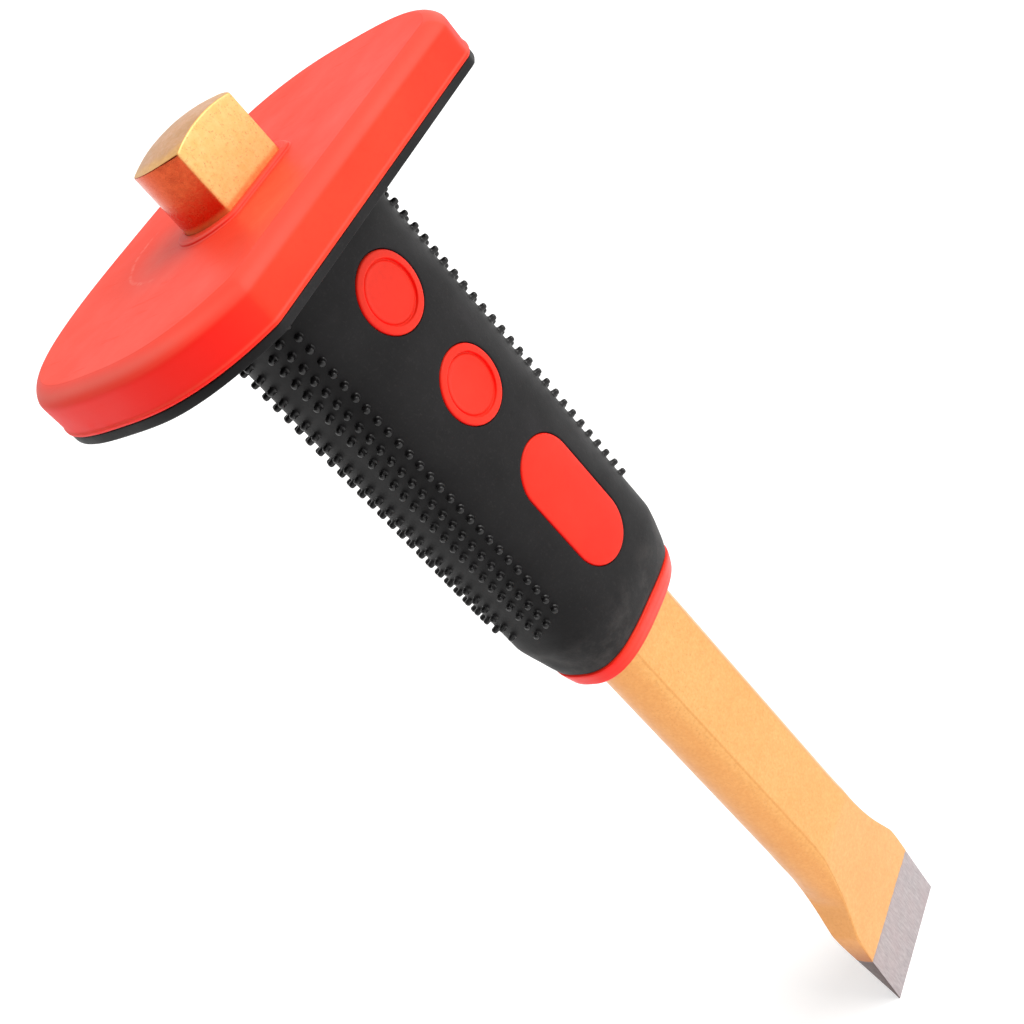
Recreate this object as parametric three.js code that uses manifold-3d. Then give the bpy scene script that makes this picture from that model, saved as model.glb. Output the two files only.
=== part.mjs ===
// Flat-section masonry chisel with a push-on hand guard.
// Millimetres, +Z up. The cutting edge lies along X at z = 0, its middle at the
// origin; the struck head is at z = TOOL_LENGTH. The broad faces look along -Y and +Y.
import * as THREE from 'three';
import { mergeVertices } from 'three/addons/utils/BufferGeometryUtils.js';
import Module from 'manifold-3d';

const wasm = await Module();
wasm.setup();

// ---------------------------------------------------------------- dimensions
const TOOL_LENGTH = 299;        // cutting edge to crown of the head
const EDGE_WIDTH = 34.8;        // along the cutting edge
const EDGE_LAND = 0.7;         // blunt land left on the cutting edge
const BEVEL_HEIGHT = 20.4;     // ground bevels, both sides
const BEVEL_THICK = 5.3;       // blade thickness where the bevels start
const TAPER_TOP = 60;          // full thickness from here up
// half width of the broad faces along the blade and the flare: [height, half width]
const FLARE = [[20.4, 17.4], [27.5, 17.25], [31.5, 16.9], [36, 15.45], [40, 14.15], [44, 13], [48, 11.95], [52, 11.1], [56, 10.4], [60, 9.85], [66, 9.3]];
const BAR_WIDTH = 27.4;        // flat-oval bar, over the rounded edges
const BAR_THICK = 15.6;        // over the broad faces
const BAR_FLAT = 18.6;         // width of each broad face
const SHANK_TOP = 147;         // bare shank ends below the nose collar
const HEAD_TAPER_Z = 250;      // the rounded edges draw in from here to the head
const HEAD_WIDTH = 24.4;       // over the rounded edges where the bar leaves the guard
const CROWN_WIDTH = 23;        // over the rounded edges at the struck end
const HEAD_CROWN_R = 34.4;     // radius of the domed struck end

const FIT = 0.3;               // clearance between neighbouring pieces

const GUARD_HALF_X = 53.8;     // guard, middle to either end
const GUARD_BACK_Y = 41.6;     // middle to the bowed back edge
const GUARD_FRONT_Y = 35.3;    // middle to the straight front edge
const GUARD_POWER = 2.8;       // fullness of the oval outline
const GUARD_CORNER_R = 3;      // where the straight edge meets the oval
const GUARD_TOP = 283;         // rim of the top face
const GUARD_DISH = 0.9;        // the top face sinks this much towards the head
const GUARD_WALL_BOTTOM = 272.7; // lower lip of the red wall
const GUARD_EDGE = 3.2;        // chamfer with soft edges between wall and top
const GUARD_WALL = 2.6;        // wall thickness of the tray
const GUARD_PLATE = 3;         // top plate thickness
const LIP_HEIGHT = 1;          // raised lip round the head, above the dished face
const LIP_SIDE = 2.6;          // lip width beyond the bar, along X
const LIP_FACE = 1.9;          // lip width beyond the bar, along Y

const BACKING_BOTTOM = 271;  // underside of the rubber backing
const CORE_HALF_W = 17.2, CORE_HALF_T = 10.6, CORE_HALF_FLAT = 10.2;
const CORE_BOTTOM = 153.4;

const GRIP_HALF_W = 22.8, GRIP_HALF_T = 16.1, GRIP_POWER = 2.7;
const GRIP_BEND = 167;         // grip starts to draw in below this
const GRIP_BOTTOM = 155.7;
const NOSE_TOP = 155.4;
const NOSE_BOTTOM = 149.2;

const PAD_R = 8.6;             // round pads, and half the width of the long pads
const PAD_RING_R = 6.6;        // stepped circle inside the round pads
const UPPER_PAD_Z = 250.9;
const MIDDLE_PAD_Z = 225;
const LONG_PAD_Z0 = 171.5, LONG_PAD_Z1 = 206.4;
const PAD_FACE = 15.95;        // outer face of the pads from the mid plane

// ---------------------------------------------------------------- sections
// Flat-oval section: two flats joined by shallow arcs, counter-clockwise from the
// front right corner.
function flatOval(halfFlat, halfW, halfT, n = 6) {
  const s = halfW - halfFlat;
  const r = (s * s + halfT * halfT) / (2 * s);
  const cx = halfW - r;
  const a0 = s > halfT ? Math.PI - Math.asin(halfT / r) : Math.asin(halfT / r);
  const right = [], left = [];
  for (let i = 0; i <= n; i++) {
    const a = -a0 + (2 * a0 * i) / n;
    right.push([cx + r * Math.cos(a), r * Math.sin(a)]);
    left.push([-(cx + r * Math.cos(a)), -r * Math.sin(a)]);
  }
  return [...right, ...left];
}

const barSection = (off = 0) => flatOval(BAR_FLAT / 2 + off * 0.6, BAR_WIDTH / 2 + off, BAR_THICK / 2 + off);
const headSection = (width, off = 0) => flatOval(BAR_FLAT / 2 + off * 0.6, width / 2 + off, BAR_THICK / 2 + off);
const coreSection = (off = 0) => flatOval(CORE_HALF_FLAT + off * 0.6, CORE_HALF_W + off, CORE_HALF_T + off);

function superEllipse(a, b, n, m = 32) {
  const pts = [];
  for (let i = 0; i < m; i++) {
    const t = (2 * Math.PI * i) / m, c = Math.cos(t), s = Math.sin(t);
    pts.push([a * Math.sign(c) * Math.abs(c) ** (2 / n), b * Math.sign(s) * Math.abs(s) ** (2 / n)]);
  }
  return pts;
}

// Outline of the guard: a full oval with one straight edge in front, its two
// corners rounded. Counter-clockwise from the right end of the straight edge.
function guardOutline(off = 0, sweep = 15, corner = 3) {
  const a = GUARD_HALF_X + off, b = GUARD_BACK_Y + off, d = GUARD_FRONT_Y + off, n = GUARD_POWER;
  const rc = Math.max(GUARD_CORNER_R + off, 1.5);
  const oval = (phi) => {
    const c = Math.abs(Math.cos(phi)), s = Math.abs(Math.sin(phi));
    const r = ((c / a) ** n + (s / b) ** n) ** (-1 / n);
    return [r * Math.cos(phi), r * Math.sin(phi)];
  };
  const normal = ([x, y]) => {
    const u = Math.sign(x) * Math.abs(x) ** (n - 1) / a ** n, v = Math.sign(y) * Math.abs(y) ** (n - 1) / b ** n;
    const l = Math.hypot(u, v);
    return [u / l, v / l];
  };
  // the corner arc touches both the oval and the straight edge
  let lo = -Math.PI / 2 + 0.05, hi = 0;
  for (let i = 0; i < 50; i++) {
    const mid = (lo + hi) / 2, p = oval(mid), q = normal(p);
    if (p[1] - rc * q[1] < rc - d) lo = mid; else hi = mid;
  }
  const p0 = oval(lo), n0 = normal(p0);
  const kx = p0[0] - rc * n0[0], ky = rc - d;
  const a1 = Math.atan2(n0[1], n0[0]);
  const right = [];
  for (let i = 0; i < corner; i++) {
    const t = -Math.PI / 2 + ((a1 + Math.PI / 2) * i) / corner;
    right.push([kx + rc * Math.cos(t), ky + rc * Math.sin(t)]);
  }
  for (let i = 0; i <= sweep; i++) right.push(oval(lo + ((Math.PI / 2 - lo) * i) / sweep));
  const left = right.slice(0, -1).reverse().map(([x, y]) => [-x, y]);
  return [...right, ...left];
}

// ---------------------------------------------------------------- solids
// Closed body through rings of equal point count, each an array of [x, y, z].
function loft(rings, apex = null) {
  const n = rings[0].length, pos = [], idx = [];
  for (const r of rings) for (const p of r) pos.push(...p);
  for (let k = 0; k + 1 < rings.length; k++) {
    for (let i = 0; i < n; i++) {
      const j = (i + 1) % n, a = k * n + i, b = k * n + j, c = (k + 1) * n + j, d = (k + 1) * n + i;
      idx.push(a, b, c, a, c, d);
    }
  }
  const cap = (ring, base, up) => {
    const tris = THREE.ShapeUtils.triangulateShape(ring.map((p) => new THREE.Vector2(p[0], p[1])), []);
    for (const [a, b, c] of tris) up ? idx.push(base + a, base + b, base + c) : idx.push(base + a, base + c, base + b);
  };
  cap(rings[0], 0, false);
  const last = rings.length - 1;
  if (apex) {
    const at = pos.length / 3;
    pos.push(...apex);
    for (let i = 0; i < n; i++) idx.push(last * n + i, last * n + ((i + 1) % n), at);
  } else cap(rings[last], last * n, true);
  const g = new THREE.BufferGeometry();
  g.setAttribute('position', new THREE.Float32BufferAttribute(pos, 3));
  g.setIndex(idx);
  return g;
}

const at = (outline, z) => outline.map(([x, y]) => [x, y, z]);
const prism = (outline, z0, z1) => loft([at(outline, z0), at(outline, z1)]);

function solid(geometry) {
  const g = geometry.clone();
  g.deleteAttribute('normal');
  g.deleteAttribute('uv');
  const m = mergeVertices(g, 1e-5);
  return new wasm.Manifold(new wasm.Mesh({
    numProp: 3,
    vertProperties: new Float32Array(m.attributes.position.array),
    triVerts: new Uint32Array(m.index.array),
  }));
}

function geometryOf(manifold) {
  const m = manifold.getMesh();
  const g = new THREE.BufferGeometry();
  g.setAttribute('position', new THREE.Float32BufferAttribute(m.vertProperties, 3));
  g.setIndex(new THREE.Uint32BufferAttribute(m.triVerts, 1));
  return g;
}

// ---------------------------------------------------------------- chisel bar
function bladeRing(z) {
  const t = BAR_THICK / 2, tb = BEVEL_THICK / 2;
  let halfT = t;
  if (z < BEVEL_HEIGHT) halfT = EDGE_LAND / 2 + (tb - EDGE_LAND / 2) * (z / BEVEL_HEIGHT);
  else if (z < TAPER_TOP) halfT = tb + (t - tb) * ((z - BEVEL_HEIGHT) / (TAPER_TOP - BEVEL_HEIGHT));
  let halfFlat = EDGE_WIDTH / 2;
  for (let i = 0; i + 1 < FLARE.length; i++) {
    const [z0, w0] = FLARE[i], [z1, w1] = FLARE[i + 1];
    if (z >= z0) halfFlat = w0 + (w1 - w0) * Math.min((z - z0) / (z1 - z0), 1);
  }
  // the rounded edges run on from the bar until the flaring faces reach them
  const halfW = Math.max(halfFlat + 0.15, z > 31 ? BAR_WIDTH / 2 - 0.3 * Math.max(0, (60 - z) / 29) : 0);
  return at(flatOval(halfFlat, halfW, halfT), z);
}

function chiselBar() {
  const rings = [0, ...FLARE.map(([z]) => z)].map(bladeRing);
  const bar = barSection();
  rings.push(at(bar, 90), at(bar, SHANK_TOP), at(bar, HEAD_TAPER_Z), at(headSection(HEAD_WIDTH), GUARD_TOP));
  const end = headSection(CROWN_WIDTH), centre = TOOL_LENGTH - HEAD_CROWN_R;
  const crown = (k) => end.map(([x, y]) => [x * k, y * k, centre + Math.sqrt(HEAD_CROWN_R ** 2 - (x * k) ** 2 - (y * k) ** 2)]);
  rings.push(crown(1), crown(0.7), crown(0.36));
  return loft(rings, [0, 0, TOOL_LENGTH]);
}

// ---------------------------------------------------------------- guard
function guardShield() {
  const rings = [
    at(guardOutline(-0.5), GUARD_WALL_BOTTOM),
    at(guardOutline(0), GUARD_WALL_BOTTOM + 0.6),
    at(guardOutline(0), GUARD_TOP - GUARD_EDGE),
    at(guardOutline(-0.6), GUARD_TOP - GUARD_EDGE + 0.9),
    at(guardOutline(-GUARD_EDGE + 0.2), GUARD_TOP - 0.2),
    at(guardOutline(-GUARD_EDGE - 0.2), GUARD_TOP),
    at(guardOutline(-20), GUARD_TOP - GUARD_DISH),
  ];
  const face = GUARD_TOP - GUARD_DISH;
  const w = HEAD_WIDTH / 2, t = BAR_THICK / 2, f = BAR_FLAT / 2;
  const lip = loft([
    at(flatOval(f + 1, w + LIP_SIDE, t + LIP_FACE), face - 1),
    at(flatOval(f + 1, w + LIP_SIDE, t + LIP_FACE), face + LIP_HEIGHT * 0.4),
    at(flatOval(f + 0.7, w + LIP_SIDE - 0.8, t + LIP_FACE - 0.8), face + LIP_HEIGHT),
  ]);
  const pocket = prism(guardOutline(-GUARD_WALL), GUARD_WALL_BOTTOM - 2, GUARD_TOP - GUARD_PLATE);
  const bore = prism(headSection(HEAD_WIDTH + 0.3, FIT), GUARD_TOP - 20, GUARD_TOP + 20);
  return geometryOf(solid(loft(rings)).add(solid(lip)).subtract(solid(pocket)).subtract(solid(bore)));
}

function guardBacking() {
  const rim = loft([
    at(guardOutline(-0.6), BACKING_BOTTOM),
    at(guardOutline(-0.1), BACKING_BOTTOM + 0.5),
    at(guardOutline(-0.1), GUARD_WALL_BOTTOM - FIT),
  ]);
  const plug = prism(guardOutline(-GUARD_WALL - FIT), GUARD_WALL_BOTTOM - 1, GUARD_TOP - GUARD_PLATE - FIT);
  const hole = prism(coreSection(FIT), BACKING_BOTTOM - 5, GUARD_TOP);
  return geometryOf(solid(rim).add(solid(plug)).subtract(solid(hole)));
}

// ---------------------------------------------------------------- grip
function gripCore() {
  const outer = prism(coreSection(), CORE_BOTTOM, GUARD_TOP - GUARD_PLATE - FIT);
  const bore = prism(barSection(FIT), CORE_BOTTOM - 5, GUARD_TOP + 5);
  return geometryOf(solid(outer).subtract(solid(bore)));
}

function padShape(kind, off = 0) {
  const r = PAD_R + off, s = new THREE.Shape();
  if (kind === 'long') {
    const half = (LONG_PAD_Z1 - LONG_PAD_Z0) / 2 - PAD_R;
    s.absarc(0, half, r, 0, Math.PI, false);
    s.absarc(0, -half, r, Math.PI, 2 * Math.PI, false);
  } else s.absarc(0, 0, r, 0, 2 * Math.PI, false);
  return s;
}

// Extrude a shape drawn in X and Z along the -Y or +Y face, from depth y0 to y1.
function faceExtrude(shape, zMid, y0, y1, side, segments = 10) {
  const g = new THREE.ExtrudeGeometry(shape, { depth: y1 - y0, bevelEnabled: false, curveSegments: segments, steps: 1 });
  g.rotateX(Math.PI / 2);                 // shape's Y to Z, depth to -Y
  g.translate(0, -y0, zMid);
  if (side > 0) g.rotateZ(Math.PI);
  return g;
}

const pads = [
  { name: 'upper_round_pad', kind: 'round', z: UPPER_PAD_Z },
  { name: 'middle_round_pad', kind: 'round', z: MIDDLE_PAD_Z },
  { name: 'long_pad', kind: 'long', z: (LONG_PAD_Z0 + LONG_PAD_Z1) / 2 },
];

function pad(kind, z, side) {
  const y0 = CORE_HALF_T + FIT;
  let body = solid(faceExtrude(padShape(kind), z, y0, PAD_FACE, side));
  if (kind === 'round') {
    // shallow stepped circle pressed into the face
    const ring = new THREE.Shape();
    ring.absarc(0, 0, PAD_RING_R, 0, 2 * Math.PI, false);
    body = body.subtract(solid(faceExtrude(ring, z, PAD_FACE - 0.6, PAD_FACE + 2, side)));
  }
  return geometryOf(body);
}

function gripCover() {
  const s = (a, b, z) => at(superEllipse(a, b, GRIP_POWER), z);
  const outer = loft([
    s(19.95, 13.35, GRIP_BOTTOM),
    s(20.65, 14.3, 158.2),
    s(21.3, 15.1, 160.9),
    s(22.15, 15.8, 164),
    s(GRIP_HALF_W, GRIP_HALF_T, GRIP_BEND),
    s(GRIP_HALF_W, GRIP_HALF_T, BACKING_BOTTOM - FIT),
  ]);
  let cover = solid(outer).subtract(solid(prism(coreSection(FIT), 100, 400)));
  for (const p of pads) for (const side of [-1, 1])
    cover = cover.subtract(solid(faceExtrude(padShape(p.kind, FIT), p.z, CORE_HALF_T - 1, 30, side)));
  return geometryOf(cover);
}

function noseCollar() {
  const s = (a, b, z) => at(superEllipse(a, b, GRIP_POWER), z);
  const outer = loft([
    s(18.5, 10.7, NOSE_BOTTOM),
    s(19.2, 11.4, 149.9),
    s(19.7, 12.6, 152.5),
    s(20.05, 13.45, NOSE_TOP),
  ]);
  return geometryOf(solid(outer)
    .subtract(solid(prism(barSection(FIT), 100, 400)))
    .subtract(solid(prism(coreSection(FIT), CORE_BOTTOM - FIT, 400))));
}

// ---------------------------------------------------------------- assembly
const goldPaint = new THREE.MeshStandardMaterial({ color: 0xd9a24e, roughness: 0.42, metalness: 0.55 });
const redPlastic = new THREE.MeshStandardMaterial({ color: 0xe0301c, roughness: 0.4, metalness: 0 });
const blackRubber = new THREE.MeshStandardMaterial({ color: 0x232323, roughness: 0.75, metalness: 0 });

const group = new THREE.Group();
function place(name, geometry, material) {
  geometry.computeVertexNormals();
  const mesh = new THREE.Mesh(geometry, material);
  mesh.name = name;
  group.add(mesh);
}

place('chisel_bar', chiselBar(), goldPaint);
place('guard_shield', guardShield(), redPlastic);
place('guard_backing', guardBacking(), blackRubber);
place('grip_core', gripCore(), redPlastic);
place('grip_cover', gripCover(), blackRubber);
place('nose_collar', noseCollar(), redPlastic);
for (const p of pads) {
  place(`${p.name}_front`, pad(p.kind, p.z, -1), redPlastic);
  place(`${p.name}_back`, pad(p.kind, p.z, 1), redPlastic);
}

export default group;
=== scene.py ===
import math
import random
import bpy
import bmesh
import numpy as np
from mathutils import Matrix, Vector
from mathutils.geometry import delaunay_2d_cdt


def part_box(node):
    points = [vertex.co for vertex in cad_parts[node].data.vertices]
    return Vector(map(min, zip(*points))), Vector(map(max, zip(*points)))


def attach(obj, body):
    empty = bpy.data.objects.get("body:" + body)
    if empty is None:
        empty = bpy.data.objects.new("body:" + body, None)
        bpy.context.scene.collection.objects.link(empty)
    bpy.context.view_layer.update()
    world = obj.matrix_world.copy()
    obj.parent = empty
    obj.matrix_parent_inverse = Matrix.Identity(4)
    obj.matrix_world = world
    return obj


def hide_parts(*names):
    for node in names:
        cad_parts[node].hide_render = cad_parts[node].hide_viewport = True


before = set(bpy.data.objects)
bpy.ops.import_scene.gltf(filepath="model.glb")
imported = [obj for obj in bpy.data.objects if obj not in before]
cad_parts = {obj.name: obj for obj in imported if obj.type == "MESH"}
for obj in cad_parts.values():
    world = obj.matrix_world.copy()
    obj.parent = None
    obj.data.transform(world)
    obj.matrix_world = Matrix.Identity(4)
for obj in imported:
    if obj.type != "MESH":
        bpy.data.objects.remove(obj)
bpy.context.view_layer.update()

random.seed(7)
MM = 0.001
pi = math.pi

# ------------------------------------------------------------------ sizes, from the CAD boxes (mm)
def box(node):
    lo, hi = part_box(node)
    return np.array(lo) / MM, np.array(hi) / MM

bar_lo, bar_hi = box("chisel_bar")
LENGTH = bar_hi[2]
BAR_T = bar_hi[1]                       # half thickness
EDGE_HALF = bar_hi[0] - 0.15            # half width of the blade faces
sh_lo, sh_hi = box("guard_shield")
GX, G_BACK, G_FRONT = sh_hi[0], sh_hi[1], -sh_lo[1]
WALL_Z0 = sh_lo[2]
LIP_TOP = sh_hi[2]
RIM_Z = LIP_TOP - 0.1                   # rim of the guard's top face
TOP_Z = LIP_TOP - 1.0                   # dished face round the head
bk_lo, bk_hi = box("guard_backing")
BACK_Z0 = bk_lo[2]
cv_lo, cv_hi = box("grip_cover")
GA, GB = cv_hi[0], cv_hi[1]
CV_Z0, CV_Z1 = cv_lo[2], cv_hi[2]
ns_lo, ns_hi = box("nose_collar")
co_lo, co_hi = box("grip_core")
CORE_W, CORE_T, CORE_F = co_hi[0], co_hi[1], co_hi[0] - 7.0

BAR_F, BAR_W = 9.3, 13.7                # half width of the flats, half overall width
HEAD_W, CROWN_W, HEAD_TAPER_Z = 12.2, 11.5, 250.0
BEVEL_Z, BEVEL_T, LAND_T = 20.4, 2.65, 0.35
TAPER_TOP = 60.0
FLARE = ((0, 17.4), (20.4, 17.4), (27.5, 17.25), (31.5, 16.9), (36, 15.45), (40, 14.15), (44, 13), (48, 11.95), (52, 11.1), (56, 10.4), (60, 9.85), (66, 9.3), (400, 9.3))
CROWN_R = 34.4
G_POWER, CORNER_R = 2.8, 3.0
POWER = 2.7


# ------------------------------------------------------------------ mesh helpers
def make(name, verts, faces, mats, angle=40.0):
    me = bpy.data.meshes.new(name)
    me.from_pydata([tuple(float(c) * MM for c in v) for v in verts], [], faces)
    bm = bmesh.new()
    bm.from_mesh(me)
    bmesh.ops.remove_doubles(bm, verts=bm.verts, dist=2e-6)
    bmesh.ops.dissolve_degenerate(bm, edges=bm.edges, dist=1e-7)
    bmesh.ops.recalc_face_normals(bm, faces=bm.faces)
    bm.to_mesh(me)
    bm.free()
    for p in me.polygons:
        p.use_smooth = True
    me.set_sharp_from_angle(angle=math.radians(angle))
    for m in mats:
        me.materials.append(m)
    ob = bpy.data.objects.new(name, me)
    bpy.context.scene.collection.objects.link(ob)
    return ob


def tube(rings, wrap=False, cap0=None, cap1=None):
    """Quads through rings of equal count. wrap joins the last ring to the first; a cap is a centre point."""
    n = len(rings[0])
    verts = [p for r in rings for p in r]
    faces = []
    last = len(rings) if wrap else len(rings) - 1
    for k in range(last):
        a, b = k * n, ((k + 1) % len(rings)) * n
        for i in range(n):
            j = (i + 1) % n
            faces.append((a + i, a + j, b + j, b + i))
    if cap0 is not None:
        c = len(verts)
        verts.append(cap0)
        faces += [(c, (i + 1) % n, i) for i in range(n)]
    if cap1 is not None:
        c, b = len(verts), (len(rings) - 1) * n
        verts.append(cap1)
        faces += [(c, b + i, b + (i + 1) % n) for i in range(n)]
    return verts, faces


def flat_oval(hf, hw, ht, d=0.6, nf=16, na=20, nc=6):
    """Flat-oval section with its four long edges rounded, counter-clockwise from the right side."""
    s = max(hw - hf, 0.02)
    r = (s * s + ht * ht) / (2 * s)
    cx = hw - r
    a0 = pi - math.asin(min(1, ht / r)) if s > ht else math.asin(min(1, ht / r))
    d = min(d, ht * 0.35)
    da = d / r
    def arc(a):
        return np.array([cx + r * math.cos(a), r * math.sin(a)])
    def bez(p0, p1, p2, k):
        return [(1 - t) ** 2 * p0 + 2 * t * (1 - t) * p1 + t * t * p2 for t in [(i + 1) / k for i in range(k - 1)]]
    e = np.linspace(-1, 1, na + 1)
    side = [arc(a) for a in (a0 - da) * np.sign(e) * (1 - (1 - np.abs(e)) ** 1.25)]
    c1 = np.array([hf, ht])
    flat = [np.array([x, ht]) for x in -(hf - d) * np.linspace(-1, 1, nf + 1)]
    half = side + bez(side[-1], c1, flat[0], nc) + flat + bez(flat[-1], np.array([-hf, ht]), -side[0], nc)
    return np.array(half + [-p for p in half])


def polar(outline, theta):
    """The same outline as one point for each angle, so that different outlines can be lofted."""
    a = np.arctan2(outline[:, 1], outline[:, 0])
    r = np.hypot(outline[:, 0], outline[:, 1])
    rr = np.interp(theta, a[np.argsort(a)], r[np.argsort(a)], period=2 * pi)
    return np.stack([rr * np.cos(theta), rr * np.sin(theta)], 1)


def guard_outline(off=0.0):
    """Full oval with one straight edge in front and two rounded corners."""
    a, b, d, n = GX + off, G_BACK + off, G_FRONT + off, G_POWER
    rc = max(CORNER_R + off, 1.5)
    def oval(phi):
        r = ((abs(math.cos(phi)) / a) ** n + (abs(math.sin(phi)) / b) ** n) ** (-1 / n)
        return r * math.cos(phi), r * math.sin(phi)
    def normal(p):
        u = math.copysign(abs(p[0]) ** (n - 1) / a ** n, p[0])
        v = math.copysign(abs(p[1]) ** (n - 1) / b ** n, p[1])
        l = math.hypot(u, v)
        return u / l, v / l
    lo, hi = -pi / 2 + 0.05, 0.0
    for _ in range(60):
        mid = (lo + hi) / 2
        p = oval(mid)
        if p[1] - rc * normal(p)[1] < rc - d:
            lo = mid
        else:
            hi = mid
    p0, n0 = oval(lo), normal(oval(lo))
    kx, ky = p0[0] - rc * n0[0], rc - d
    a1 = math.atan2(n0[1], n0[0])
    right = [(kx + rc * math.cos(t), ky + rc * math.sin(t)) for t in np.linspace(-pi / 2, a1, 40)[:-1]]
    right += [oval(t) for t in np.linspace(lo, pi / 2, 260)]
    pts = right + [(-x, y) for x, y in right[:-1][::-1]] + [(x, -d) for x in np.linspace(-kx, kx, 201)[1:-1]]
    return np.array(pts)


def level(ring2, z):
    return [(p[0], p[1], z) for p in ring2]


def surf_y(x):
    """Half thickness of the straight part of the grip at x."""
    return GB * (1 - min(abs(x) / GA, 1) ** POWER) ** (1 / POWER)


# grip outline half sizes along z: straight, then drawn in towards the nose
PROFILE_Z = np.array([155.7, 158.2, 160.9, 164.0, 167.0, 170.0, 400.0])
PROFILE_A = np.array([19.95, 20.65, 21.3, 22.15, GA, GA, GA])
PROFILE_B = np.array([13.35, 14.3, 15.1, 15.8, GB, GB, GB])
# the collar below it stands a little proud of the rubber
NOSE_Z = np.array([149.2, 149.9, 152.5, 155.4])
NOSE_A = np.array([19.1, 19.3, 19.75, 20.1])
NOSE_B = np.array([11.3, 11.5, 12.65, 13.5])


def dip(v):
    """The end of the rubber and the collar swing down a little on the narrow sides."""
    v = np.array(v, float)
    k = np.interp(v[:, 2], [149.0, 150.5, 155.5, 170.0], [0.0, 0.35, 1.0, 0.0])
    v[:, 2] -= 1.7 * np.minimum(np.abs(v[:, 0]) / 20.0, 1.1) ** 2 * k
    return v


def smooth_interp(z, xs, ys):
    """Monotone cubic through the profile points."""
    h = np.diff(xs)
    m = np.diff(ys) / h
    t = np.zeros(len(xs))
    t[1:-1] = np.where(m[:-1] * m[1:] > 0, 2 * m[:-1] * m[1:] / np.where(m[:-1] + m[1:] == 0, 1, m[:-1] + m[1:]), 0)
    t[0], t[-1] = m[0], 0
    k = int(np.clip(np.searchsorted(xs, z) - 1, 0, len(h) - 1))
    u = (z - xs[k]) / h[k]
    return float((1 + 2 * u) * (1 - u) ** 2 * ys[k] + u * (1 - u) ** 2 * h[k] * t[k] + u * u * (3 - 2 * u) * ys[k + 1] + u * u * (u - 1) * h[k] * t[k + 1])


def grip_ab(z):
    return smooth_interp(z, PROFILE_Z, PROFILE_A), smooth_interp(z, PROFILE_Z, PROFILE_B)


def nose_ab(z):
    return smooth_interp(z, NOSE_Z, NOSE_A), smooth_interp(z, NOSE_Z, NOSE_B)


def super_pt(t, a, b):
    c, s = math.cos(t), math.sin(t)
    return (a * math.copysign(abs(c) ** (2 / POWER), c), b * math.copysign(abs(s) ** (2 / POWER), s))


# ------------------------------------------------------------------ node helpers
def new_mat(name):
    m = bpy.data.materials.new(name)
    m.use_nodes = True
    nt = m.node_tree
    nt.nodes.clear()
    out = nt.nodes.new("ShaderNodeOutputMaterial")
    bsdf = nt.nodes.new("ShaderNodeBsdfPrincipled")
    nt.links.new(bsdf.outputs[0], out.inputs[0])
    return m, nt, bsdf


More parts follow.
